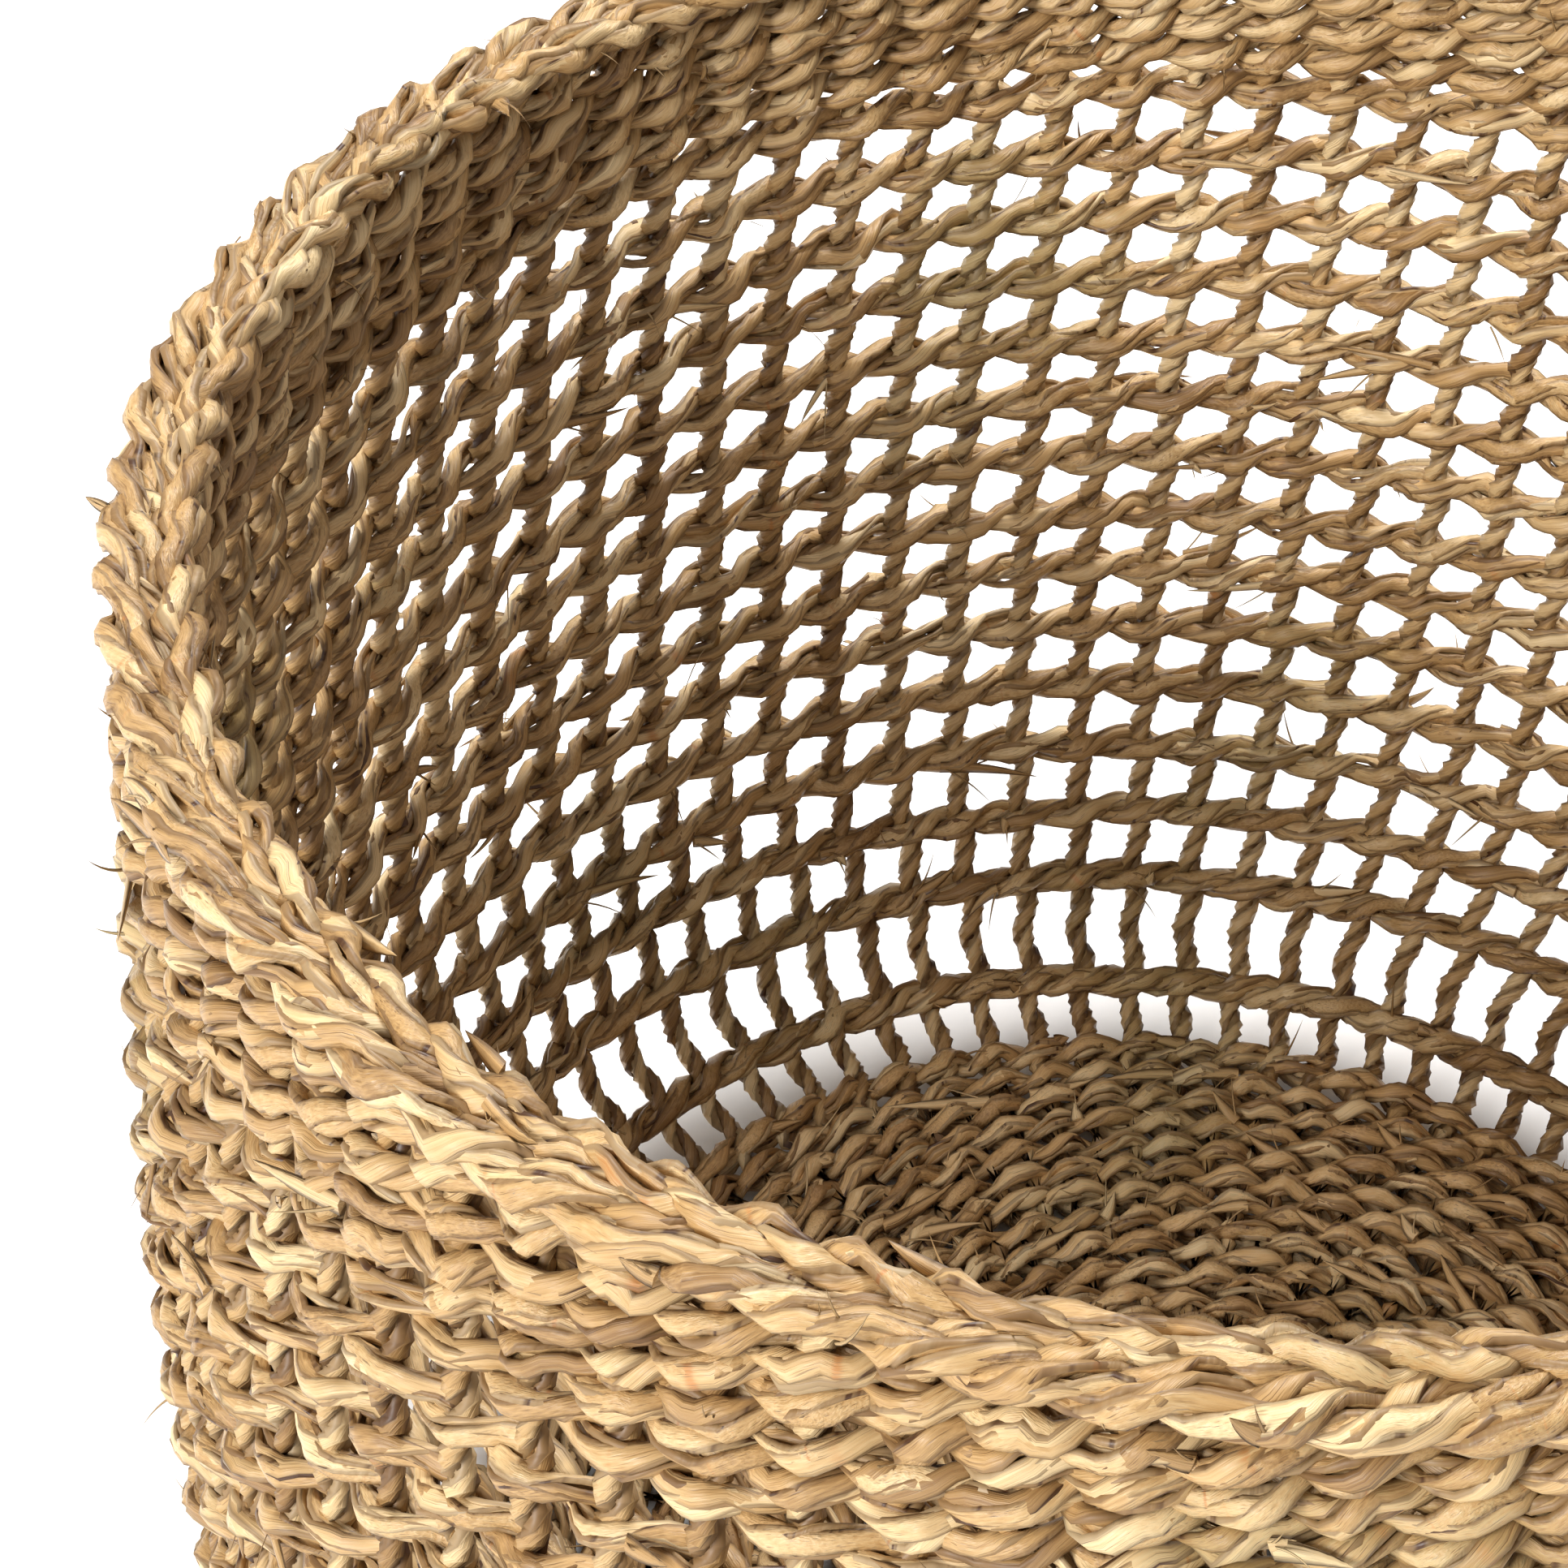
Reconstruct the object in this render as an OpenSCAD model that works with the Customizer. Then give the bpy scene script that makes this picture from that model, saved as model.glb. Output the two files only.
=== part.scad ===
// Round storage basket in open twined seagrass.
// Upright stakes run out from the middle of the base, turn up into the wall and end under
// the border. Pairs of weft strands ring them, one strand on each side: packed rows in the
// base and under the rim, open rows in the wall between.

/* [Basket] */
// Overall height over the border
basket_h = 300; // [270:5:360]
// Widest outside diameter, at the belly
belly_dia = 400; // [400:5:480]
// Outside diameter of the rim, at its top strand
rim_dia = 376; // [320:2:390]
// Height of the belly above the ground
belly_h = 105; // [90:5:130]
// Diameter of the flat part of the base
flat_dia = 276; // [230:2:300]
// Radius of the bend between base and wall
corner_r = 25; // [20:1:30]

/* [Stakes] */
// Thickness of a stake cord
stake_d = 5.6; // [4.6:0.1:6.6]
// Number of stakes round the wall, a multiple of eight
stake_count = 80; // [72:8:88]
// Free space between neighbouring stakes where new ones are added
stake_gap = 0.4; // [0.2:0.1:1]
// Width of the whipping where two stretches of a stake meet
whipping_len = 0.8; // [0.6:0.1:1]
// Extra thickness of the whipping over the stake
whipping_over = 0.1; // [0.1:0.05:0.2]

/* [Weft] */
// Thickness of a weft strand, across the wall
strand_t = 3.4; // [2.8:0.1:4.2]
// Width of a weft strand in the open rows
open_strand_w = 5; // [4.4:0.1:6]
// Width of a weft strand in the packed rows under the rim
band_strand_w = 6.4; // [5:0.1:7.4]
// Free space between neighbouring strands of packed rows
packed_gap = 1.1; // [0.6:0.1:1.8]
// Distance that the base's last row lies past the flat part of the base
edge_overrun = 4; // [2:0.5:6]
// Distance along the stakes from the base's last row to the foot row
foot_gap = 19; // [15:1:22]
// Distance along the stakes from the foot row to the first wall row
first_gap = 25; // [20:1:28]

/* [Border] */
// Thickness of each strand of the border
border_d = 6; // [5:0.1:7.2]

/* [Hidden] */
$fn = 96;

BASE_ROWS = 18;
WALL_ROWS = 14;
BAND_ROWS = 4;
STAKE_SETS = 8;

// Distance from the last open row to the band, as a part of an open row's spacing.
BAND_STEP = 0.4;
// Bevel of a flattened strand, as a part of its thickness.
BEVEL = 0.4;

STRAW = [0.80, 0.68, 0.50];
DARK_STRAW = [0.66, 0.54, 0.38];
CORD = [0.72, 0.60, 0.43];

// Stake centre line: flat base, corner arc, lower wall arc up to the belly, upper wall arc.
stake_z = strand_t + stake_d / 2;
flat_r = flat_dia / 2;
belly_r = belly_dia / 2 - strand_t - stake_d / 2;
rim_r = rim_dia / 2 - border_d - stake_d / 2;
top_z = basket_h - border_d / 2;

// Lower wall arc: vertical at the belly, and tangent to the corner arc inside it.
reach = belly_r - flat_r;
climb = belly_h - stake_z - corner_r;
lower_r = (reach * reach + climb * climb - corner_r * corner_r) / (2 * (reach - corner_r));
corner_turn = 90 - atan2(climb, flat_r - belly_r + lower_r);

// Upper wall arc: vertical at the belly, leaning in up to the border's top strand.
lean_in = belly_r - rim_r;
rise = top_z - belly_h;
upper_r = (rise * rise + lean_in * lean_in) / (2 * lean_in);
upper_turn = asin(rise / upper_r);

corner_c = [flat_r, stake_z + corner_r];
lower_c = [belly_r - lower_r, belly_h];
upper_c = [belly_r - upper_r, belly_h];

// Distances along a stake, counted from the middle of the base.
function arc_len(r, turn) = r * turn * PI / 180;
function arc_turn(r, length) = length / r * 180 / PI;
corner_end = flat_r + arc_len(corner_r, corner_turn);
belly_end = corner_end + arc_len(lower_r, 90 - corner_turn);
top_at = belly_end + arc_len(upper_r, upper_turn);

// The border's top strand lies on the stake ends, with a strand on each side below it.
stake_end = top_at - border_d / 2;
side_at = stake_end - border_d / 2;

// Direction of a stake at a distance s along it: 0 flat outwards, 90 straight up.
function turn_at(s) =
    s <= flat_r ? 0
    : s <= corner_end ? arc_turn(corner_r, s - flat_r)
    : s <= belly_end ? corner_turn + arc_turn(lower_r, s - corner_end)
    : 90 + arc_turn(upper_r, s - belly_end);

// Side of a stake that faces out of the basket, as a unit vector [radius, height].
function outward_at(s) = [sin(turn_at(s)), -cos(turn_at(s))];

// Point of the stake's centre line, as [radius, height].
function point_at(s) =
    s <= flat_r ? [s, stake_z]
    : s <= corner_end ? corner_c + corner_r * outward_at(s)
    : s <= belly_end ? lower_c + lower_r * outward_at(s)
    : upper_c + upper_r * outward_at(s);

// Nearest distance from the middle at which this many stakes lie side by side.
function packed_radius(count) = (stake_d + stake_gap) / (2 * sin(180 / count));

// Packed rows fill the base from the centre knot to just past its flat part.
knot_r = packed_radius(stake_count / STAKE_SETS);
base_edge_at = flat_r + edge_overrun;
base_pitch = (base_edge_at - knot_r) / (BASE_ROWS - 0.5);
base_strand_w = base_pitch - packed_gap;
function base_row_at(i) = knot_r + (i + 0.5) * base_pitch;

// Packed rows hang below the border.
band_pitch = band_strand_w + packed_gap;
band_top_at = side_at - border_d / 2 - packed_gap - band_strand_w / 2;
band_foot_at = band_top_at - (BAND_ROWS - 1) * band_pitch;
function band_row_at(i) = band_foot_at + i * band_pitch;

// Open rows share the wall between the foot row and the band.
foot_at = base_edge_at + foot_gap;
first_at = foot_at + first_gap;
open_pitch = (band_foot_at - first_at) / (WALL_ROWS - BAND_STEP);
function wall_row_at(i) = first_at + i * open_pitch;

// Flattened strand section: long sides along the stake, bevelled edges.
module strand_section(width, thick) {
    flat = width / 2 - thick * BEVEL;
    edge = thick * (0.5 - BEVEL);
    polygon([
        [width / 2, -edge], [width / 2, edge], [flat, thick / 2], [-flat, thick / 2],
        [-width / 2, edge], [-width / 2, -edge], [-flat, -thick / 2], [flat, -thick / 2]
    ]);
}

// One strand laid round all the stakes at distance s; side 1 is outside, -1 inside.
module strand_ring(s, side, width) {
    at = point_at(s) + side * (stake_d + strand_t) / 2 * outward_at(s);
    rotate_extrude()
        translate(at)
            rotate(turn_at(s))
                strand_section(width, strand_t);
}

// A weft row: the pair of strands that grips the stakes.
module weft_row(s, width) {
    strand_ring(s, 1, width);
    strand_ring(s, -1, width);
}

// Part of a stake that bends in its upright plane, between two directions.
module stake_bend(centre, r, from, to) {
    translate([centre.x, 0, centre.y])
        rotate([90, 0, 0])
            rotate([0, 0, from - 90])
                rotate_extrude(angle = to - from)
                    translate([r, 0])
                        circle(d = stake_d);
}

// Short whipping over the place where two stretches of a stake meet, which joins them.
module stake_whipping(s) {
    at = point_at(s);
    translate([at.x, 0, at.y])
        rotate([0, 90 - turn_at(s), 0])
            cylinder(d = stake_d + whipping_over, h = whipping_len, center = true);
}

// One stake from a distance out of the middle to the border.
module stake(start) {
    top_turn = 90 + arc_turn(upper_r, stake_end - belly_end);
    translate([start, 0, stake_z])
        rotate([0, 90, 0])
            cylinder(d = stake_d, h = flat_r - start);
    stake_bend(corner_c, corner_r, 0, corner_turn);
    stake_bend(lower_c, lower_r, corner_turn, 90);
    stake_bend(upper_c, upper_r, 90, top_turn);
    for (s = [flat_r, corner_end, belly_end])
        stake_whipping(s);
}

// Every eighth stake round the basket, beginning with the given one.
module stake_set(first, start) {
    color(CORD)
        for (i = [first : STAKE_SETS : stake_count - 1])
            rotate([0, 0, i * 360 / stake_count])
                stake(start);
}

// Pad where the first stakes meet, as thick as the base rows.
module base_centre_knot() {
    color(DARK_STRAW)
        cylinder(r = knot_r, h = stake_z * 2);
}

module base_row(i) {
    color(DARK_STRAW)
        weft_row(base_row_at(i), base_strand_w);
}

module foot_row() {
    color(DARK_STRAW)
        weft_row(foot_at, open_strand_w);
}

module wall_row(i) {
    color(STRAW)
        weft_row(wall_row_at(i), open_strand_w);
}

module band_row(i) {
    color(STRAW)
        weft_row(band_row_at(i), band_strand_w);
}

// A round strand of the border, at a point [radius, height].
module border_strand(at) {
    color(STRAW)
        rotate_extrude()
            translate(at)
                circle(d = border_d);
}

// Centre of the border strand beside the stakes: side 1 is outside, -1 inside.
function border_side(side) =
    point_at(side_at) + side * (stake_d + border_d) / 2 * outward_at(side_at);

base_centre_knot();
stake_set(0, knot_r);  // centre_stakes
stake_set(4, packed_radius(stake_count / 4));  // second_stakes
stake_set(2, packed_radius(stake_count / 2));  // third_stakes_a
stake_set(6, packed_radius(stake_count / 2));  // third_stakes_b
stake_set(1, packed_radius(stake_count));  // outer_stakes_a
stake_set(3, packed_radius(stake_count));  // outer_stakes_b
stake_set(5, packed_radius(stake_count));  // outer_stakes_c
stake_set(7, packed_radius(stake_count));  // outer_stakes_d
base_row(0);  // base_row_01
base_row(1);  // base_row_02
base_row(2);  // base_row_03
base_row(3);  // base_row_04
base_row(4);  // base_row_05
base_row(5);  // base_row_06
base_row(6);  // base_row_07
base_row(7);  // base_row_08
base_row(8);  // base_row_09
base_row(9);  // base_row_10
base_row(10);  // base_row_11
base_row(11);  // base_row_12
base_row(12);  // base_row_13
base_row(13);  // base_row_14
base_row(14);  // base_row_15
base_row(15);  // base_row_16
base_row(16);  // base_row_17
base_row(17);  // base_row_18
foot_row();
wall_row(0);  // wall_row_01
wall_row(1);  // wall_row_02
wall_row(2);  // wall_row_03
wall_row(3);  // wall_row_04
wall_row(4);  // wall_row_05
wall_row(5);  // wall_row_06
wall_row(6);  // wall_row_07
wall_row(7);  // wall_row_08
wall_row(8);  // wall_row_09
wall_row(9);  // wall_row_10
wall_row(10);  // wall_row_11
wall_row(11);  // wall_row_12
wall_row(12);  // wall_row_13
wall_row(13);  // wall_row_14
band_row(0);  // band_row_1
band_row(1);  // band_row_2
band_row(2);  // band_row_3
band_row(3);  // band_row_4
border_strand(border_side(1));  // border_outer_strand
border_strand(border_side(-1));  // border_inner_strand
border_strand(point_at(top_at));  // border_top_strand
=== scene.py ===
"""Visual model of a round, open-topped seagrass storage basket.

Twisted stakes run out from the middle of the base and up the wall. Pairs of strands, each a
bundle of flat dried blades, are twined round them: packed on the base and below the rim, spaced
out on the wall. A plaited border locks the stake ends.
"""

import logging
import math
from dataclasses import dataclass, replace
from enum import Enum
from typing import Any, Iterable, Optional

import bpy
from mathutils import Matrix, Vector


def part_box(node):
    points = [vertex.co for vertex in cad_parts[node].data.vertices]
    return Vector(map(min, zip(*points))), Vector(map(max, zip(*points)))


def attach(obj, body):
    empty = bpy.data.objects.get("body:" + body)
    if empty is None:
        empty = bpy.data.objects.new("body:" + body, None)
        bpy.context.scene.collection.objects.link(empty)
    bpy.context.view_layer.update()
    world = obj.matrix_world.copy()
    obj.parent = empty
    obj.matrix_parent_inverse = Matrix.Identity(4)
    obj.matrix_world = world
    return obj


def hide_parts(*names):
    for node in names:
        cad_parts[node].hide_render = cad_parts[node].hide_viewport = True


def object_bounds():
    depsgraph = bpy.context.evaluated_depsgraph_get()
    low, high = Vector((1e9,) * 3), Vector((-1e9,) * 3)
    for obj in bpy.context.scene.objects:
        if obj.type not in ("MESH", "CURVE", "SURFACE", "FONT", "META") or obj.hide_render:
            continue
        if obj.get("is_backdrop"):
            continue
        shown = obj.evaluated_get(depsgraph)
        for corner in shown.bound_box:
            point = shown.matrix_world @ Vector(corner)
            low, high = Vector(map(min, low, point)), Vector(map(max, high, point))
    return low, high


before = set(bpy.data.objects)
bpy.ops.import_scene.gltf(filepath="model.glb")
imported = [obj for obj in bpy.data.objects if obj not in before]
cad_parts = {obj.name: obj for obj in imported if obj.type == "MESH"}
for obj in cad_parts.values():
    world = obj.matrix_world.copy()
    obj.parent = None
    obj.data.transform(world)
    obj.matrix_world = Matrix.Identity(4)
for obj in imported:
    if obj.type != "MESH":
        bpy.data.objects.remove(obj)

LOG = logging.getLogger("basket")
MM = 0.001
TAU = 2 * math.pi
BODY = "root"
Colour = tuple[float, float, float]


def linear(red: int, green: int, blue: int) -> Colour:
    """Turns an everyday 0-255 colour into linear light.

    Args:
        red: Red share, 0 to 255.
        green: Green share, 0 to 255.
        blue: Blue share, 0 to 255.

    Returns:
        The three linear shares, 0 to 1.
    """
    shares = (red / 255, green / 255, blue / 255)
    return tuple(s / 12.92 if s <= 0.04045 else ((s + 0.055) / 1.055) ** 2.4 for s in shares)


# --------------------------------------------------------------------------- node expressions


class Value:
    """A number carried by a node socket, which adds Math nodes when it is used in a sum."""

    def __init__(self, graph: "Graph", socket: bpy.types.NodeSocket) -> None:
        """Keeps the tree and the socket."""
        self.graph = graph
        self.socket = socket

    def _math(self, operation: str, *terms: Any) -> "Value":
        """Adds a Math node of one operation."""
        return self.graph.math(operation, *terms)

    def __add__(self, other: Any) -> "Value":
        """Sum."""
        return self._math("ADD", self, other)

    __radd__ = __add__

    def __sub__(self, other: Any) -> "Value":
        """Difference."""
        return self._math("SUBTRACT", self, other)

    def __rsub__(self, other: Any) -> "Value":
        """Difference, the other way round."""
        return self._math("SUBTRACT", other, self)

    def __mul__(self, other: Any) -> "Value":
        """Product."""
        return self._math("MULTIPLY", self, other)

    __rmul__ = __mul__

    def __truediv__(self, other: Any) -> "Value":
        """Quotient."""
        return self._math("DIVIDE", self, other)

    def __rtruediv__(self, other: Any) -> "Value":
        """Quotient, the other way round."""
        return self._math("DIVIDE", other, self)


@dataclass(frozen=True)
class Arrow:
    """A vector carried by a node socket."""

    socket: bpy.types.NodeSocket


class Graph:
    """A node tree that is wired with expressions."""

    def __init__(self, tree: bpy.types.NodeTree) -> None:
        """Keeps the tree."""
        self.tree = tree

    def node(self, kind: str, settings: Optional[dict] = None,
             sockets: Optional[dict] = None) -> bpy.types.Node:
        """Adds a node: its settings first, then the values or links of its sockets.

        Args:
            kind: Node type.
            settings: Properties of the node, or colour ramp stops under "stops".
            sockets: Values or links by socket name or index.

        Returns:
            The new node.
        """
        made = self.tree.nodes.new(kind)
        for key, setting in (settings or {}).items():
            if key == "stops":
                self._stops(made.color_ramp, setting)
            else:
                setattr(made, key, setting)
        for key, value in (sockets or {}).items():
            self.feed(made.inputs[key], value)
        return made

    @staticmethod
    def _stops(ramp: bpy.types.ColorRamp, stops: Iterable[tuple[float, Colour]]) -> None:
        """Sets a colour ramp's stops."""
        stops = list(stops)
        while len(ramp.elements) < len(stops):
            ramp.elements.new(1.0)
        for element, (place, colour) in zip(ramp.elements, stops):
            element.position = place
            element.color = (*colour, 1.0)

    def feed(self, socket: bpy.types.NodeSocket, value: Any) -> None:
        """Links a socket, or sets its value.

        Args:
            socket: The input.
            value: A Value, an Arrow, a socket, or a plain value.
        """
        if isinstance(value, (Value, Arrow)):
            value = value.socket
        if isinstance(value, bpy.types.NodeSocket):
            self.tree.links.new(value, socket)
        else:
            socket.default_value = value

    def math(self, operation: str, *terms: Any) -> Value:
        """Adds a Math node.

        Args:
            operation: Its operation.
            *terms: One to three values.

        Returns:
            The result.
        """
        node = self.node("ShaderNodeMath", {"operation": operation}, dict(enumerate(terms)))
        return Value(self, node.outputs[0])

    def sin(self, angle: Value) -> Value:
        """Sine of an angle."""
        return self.math("SINE", angle)

    def cos(self, angle: Value) -> Value:
        """Cosine of an angle."""
        return self.math("COSINE", angle)

    def floor(self, number: Value) -> Value:
        """Whole part of a number."""
        return self.math("FLOOR", number)

    def clamped(self, number: Value) -> Value:
        """Number held between 0 and 1."""
        node = self.node("ShaderNodeClamp", {}, {"Value": number})
        return Value(self, node.outputs[0])

    def ramped(self, number: Value, low: Any, high: Any) -> Value:
        """Smooth step from 0 at low to 1 at high."""
        node = self.node("ShaderNodeMapRange", {"interpolation_type": "SMOOTHSTEP"},
                         {"Value": number, "From Min": low, "From Max": high})
        return Value(self, node.outputs[0])

    def combine(self, x: Any = 0.0, y: Any = 0.0, z: Any = 0.0) -> Arrow:
        """Vector of three numbers."""
        node = self.node("ShaderNodeCombineXYZ", {}, {"X": x, "Y": y, "Z": z})
        return Arrow(node.outputs[0])

    def noise(self, place: Any, seed: Any = 0.0, scale: Any = 1.0, detail: float = 0.0) -> Value:
        """Smooth random number, centred on 0 and mostly between -0.5 and 0.5.

        Args:
            place: Where it is read.
            seed: Fourth coordinate, which picks the pattern.
            scale: Its frequency.
            detail: Octaves of finer noise.

        Returns:
            The number.
        """
        node = self.node("ShaderNodeTexNoise", {"noise_dimensions": "4D"},
                         {"Vector": place, "W": seed, "Scale": scale, "Detail": detail})
        return Value(self, node.outputs[0]) - 0.5


# --------------------------------------------------------------------------- finishes


@dataclass(frozen=True)
class SeagrassFinish:
    """Dried seagrass: flat blades with fine lengthwise ribs, a satin gloss, and painted shade on
    the blade edges and cracks.
    """

    name: str
    dark: Colour = linear(134, 99, 58)
    straw: Colour = linear(186, 149, 98)
    pale: Colour = linear(212, 182, 134)
    olive: Colour = linear(150, 134, 88)
    ember: Colour = linear(186, 120, 62)
    cream: Colour = linear(228, 202, 156)
    # Dark colour of the painted shade on blade edges and in cracks.
    crevice_shade: Colour = linear(72, 43, 20)
    roughness: float = 0.42
    rib_depth: float = 0.32 * MM
    # Strength of the painted shade on blade edges and in cracks.
    painted_shade: float = 0.7
    specular: float = 0.45

    def material(self) -> bpy.types.Material:
        """Builds the finish as a material.

        Returns:
            The material, which reads each blade's own along, across and tint attributes.
        """
        made = bpy.data.materials.new(self.name)
        made.use_nodes = True
        made.node_tree.nodes.clear()
        g = Graph(made.node_tree)
        along = self._attribute(g, "along")
        across = self._attribute(g, "across")
        tint = self._attribute(g, "tint")
        spot = Arrow(g.node("ShaderNodeTexCoord").outputs["Object"])

        ribs = g.noise(g.combine(along * 22.0, across * 4.2, tint * 61.0), 1.0, 1.0, 2.0)
        hairs = g.noise(g.combine(along * 48.0, across * 13.0, tint * 37.0), 5.0, 1.0, 2.0)
        blotch = g.noise(spot, 2.0, 24.0, 3.0)
        scuff = g.noise(spot, 7.0, 170.0, 2.0)
        shade = g.clamped(0.5 + (tint - 0.5) * 0.75 + ribs * 0.75 + blotch * 0.6)
        stops = [(0.0, self.dark), (0.42, self.straw), (0.78, self.pale), (1.0, self.cream)]
        ramp = g.node("ShaderNodeValToRGB", {"stops": stops}, {"Fac": shade})
        green = g.ramped(g.noise(spot, 11.0, 13.0, 2.0) + ribs * 0.25, 0.03, 0.22)
        streak = g.noise(g.combine(along * 9.0, tint * 43.0, 0.0), 3.0, 1.0, 1.0)
        rust = g.ramped(streak + hairs * 0.2, 0.17, 0.30)
        colour = self._mix(g, green * 0.5, ramp.outputs["Color"], self.olive)
        colour = self._mix(g, rust * 0.75, colour, self.ember)
        # Painted shade: blade edges darken towards the dark crevice colour, standing in for the
        # shade where blades meet. The thin cracks are partly the fibre's own dark lines and partly
        # painted shade in their grooves.
        seam = g.ramped(g.math("ABSOLUTE", across), 0.55, 1.0)
        cracks = g.ramped(hairs * -1.0, 0.05, 0.24)
        painted_shade = g.clamped((seam + cracks) * self.painted_shade)
        colour = self._mix(g, painted_shade, colour, self.crevice_shade)

        height = ribs * 1.0 + hairs * 0.55 + scuff * 0.25 - seam * 0.4
        bump = g.node("ShaderNodeBump", {},
                      {"Strength": 0.75, "Distance": self.rib_depth, "Height": height})
        shader = g.node("ShaderNodeBsdfPrincipled", {}, {
            "Base Color": colour,
            "Roughness": g.clamped(self.roughness + hairs * 0.35 - ribs * 0.2 + seam * 0.12),
            "Normal": bump.outputs["Normal"],
            "Specular IOR Level": self.specular,
        })
        g.node("ShaderNodeOutputMaterial", {}, {"Surface": shader.outputs["BSDF"]})
        return made

    @staticmethod
    def _attribute(g: Graph, name: str) -> Value:
        """Reads one of the blade's attributes."""
        node = g.node("ShaderNodeAttribute", {"attribute_type": "GEOMETRY", "attribute_name": name})
        return Value(g, node.outputs["Fac"])

    @staticmethod
    def _mix(g: Graph, share: Any, under: Any, over: Any) -> bpy.types.NodeSocket:
        """Mixes two colours.

        Args:
            g: The tree.
            share: How much of the second shows.
            under: First colour, a socket or a plain colour.
            over: Second colour, a socket or a plain colour.

        Returns:
            The mixed colour's socket.
        """
        if isinstance(over, tuple):
            over = (*over, 1.0)
        node = g.node("ShaderNodeMix", {"data_type": "RGBA"}, {0: share, 6: under, 7: over})
        return node.outputs[2]


@dataclass(frozen=True)
class FloorFinish:
    """Plain pale paper under the basket."""

    name: str = "pale_floor"
    colour: Colour = (0.93, 0.93, 0.93)
    roughness: float = 0.9
    specular: float = 0.1

    def material(self) -> bpy.types.Material:
        """Builds the floor's matt material."""
        made = bpy.data.materials.new(self.name)
        made.use_nodes = True
        shader = made.node_tree.nodes["Principled BSDF"]
        shader.inputs["Base Color"].default_value = (*self.colour, 1.0)
        shader.inputs["Roughness"].default_value = self.roughness
        shader.inputs["Specular IOR Level"].default_value = self.specular
        return made


# --------------------------------------------------------------------------- the basket's shape


@dataclass(frozen=True)
class WallShape:
    """Centre line of a stake: flat base, small corner, belly, and a lean in to the rim."""

    belly_radius: float
    rim_radius: float
    top: float
    belly_height: float = 105 * MM
    flat_radius: float = 138 * MM
    corner_radius: float = 25 * MM
    stake: float = 5.6 * MM
    strand: float = 3.4 * MM

    @property
    def base_height(self) -> float:
        """Height of the stakes' centre lines on the base."""
        return self.strand + self.stake / 2

    @property
    def lower_radius(self) -> float:
        """Radius of the wall's lower arc."""
        reach = self.belly_radius - self.flat_radius
        climb = self.belly_height - self.base_height - self.corner_radius
        chord = reach ** 2 + climb ** 2 - self.corner_radius ** 2
        return chord / (2 * (reach - self.corner_radius))

    @property
    def corner_turn(self) -> float:
        """Turn of the corner, in radians."""
        climb = self.belly_height - self.base_height - self.corner_radius
        reach = self.flat_radius - self.belly_radius + self.lower_radius
        return math.pi / 2 - math.atan2(climb, reach)

    @property
    def upper_radius(self) -> float:
        """Radius of the wall's upper arc."""
        lean = self.belly_radius - self.rim_radius
        rise = self.top - self.belly_height
        return (rise ** 2 + lean ** 2) / (2 * lean)

    @property
    def corner_end(self) -> float:
        """Distance along a stake to the end of the corner."""
        return self.flat_radius + self.corner_radius * self.corner_turn

    @property
    def belly_end(self) -> float:
        """Distance along a stake to the belly."""
        return self.corner_end + self.lower_radius * (math.pi / 2 - self.corner_turn)

    @property
    def top_at(self) -> float:
        """Distance along a stake to the border's top strand."""
        rise = self.top - self.belly_height
        return self.belly_end + self.upper_radius * math.asin(rise / self.upper_radius)

    def turn_at(self, s: float) -> float:
        """Direction of a stake there: 0 is flat outwards, a quarter turn is straight up."""
        if s <= self.flat_radius:
            return 0.0
        if s <= self.corner_end:
            return (s - self.flat_radius) / self.corner_radius
        if s <= self.belly_end:
            return self.corner_turn + (s - self.corner_end) / self.lower_radius
        return math.pi / 2 + (s - self.belly_end) / self.upper_radius

    def point_at(self, s: float) -> tuple[float, float]:
        """Point of a stake's centre line at a distance along it.

        Args:
            s: Distance from the middle of the base.

        Returns:
            Radius and height.
        """
        turn = self.turn_at(s)
        if s <= self.flat_radius:
            return s, self.base_height
        if s <= self.corner_end:
            x, z, r = self.flat_radius, self.base_height + self.corner_radius, self.corner_radius
        elif s <= self.belly_end:
            x, z, r = self.belly_radius - self.lower_radius, self.belly_height, self.lower_radius
        else:
            x, z, r = self.belly_radius - self.upper_radius, self.belly_height, self.upper_radius
        return x + r * math.sin(turn), z - r * math.cos(turn)

    def distance_to_height(self, z: float) -> float:
        """Distance along a stake at which it reaches a height on the wall."""
        low, high = self.flat_radius, self.top_at
        for _ in range(60):
            middle = (low + high) / 2
            low, high = (middle, high) if self.point_at(middle)[1] < z else (low, middle)
        return (low + high) / 2


def read_shape() -> WallShape:
    """Reads the basket's shape from the imported CAD parts.

    Returns:
        The stake's centre line, fitted to the basket's box and its top strand.
    """
    _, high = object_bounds()
    top_low, top_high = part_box("border_top_strand")
    strand = top_high.z - top_low.z
    cord = WallShape.stake / 2 + WallShape.strand
    return WallShape(belly_radius=high.x - cord, rim_radius=top_high.x - strand / 2,
                     top=high.z - strand / 2)


def row_distance(shape: WallShape, node: str) -> float:
    """Distance along the stakes at which a row of the wall lies."""
    low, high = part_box(node)
    return shape.distance_to_height((low.z + high.z) / 2)


# --------------------------------------------------------------------------- geometry trees


class Hand(Enum):
    """Which way a pair of strands is twisted."""

    RIGHT = 1.0
    LEFT = -1.0


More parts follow.
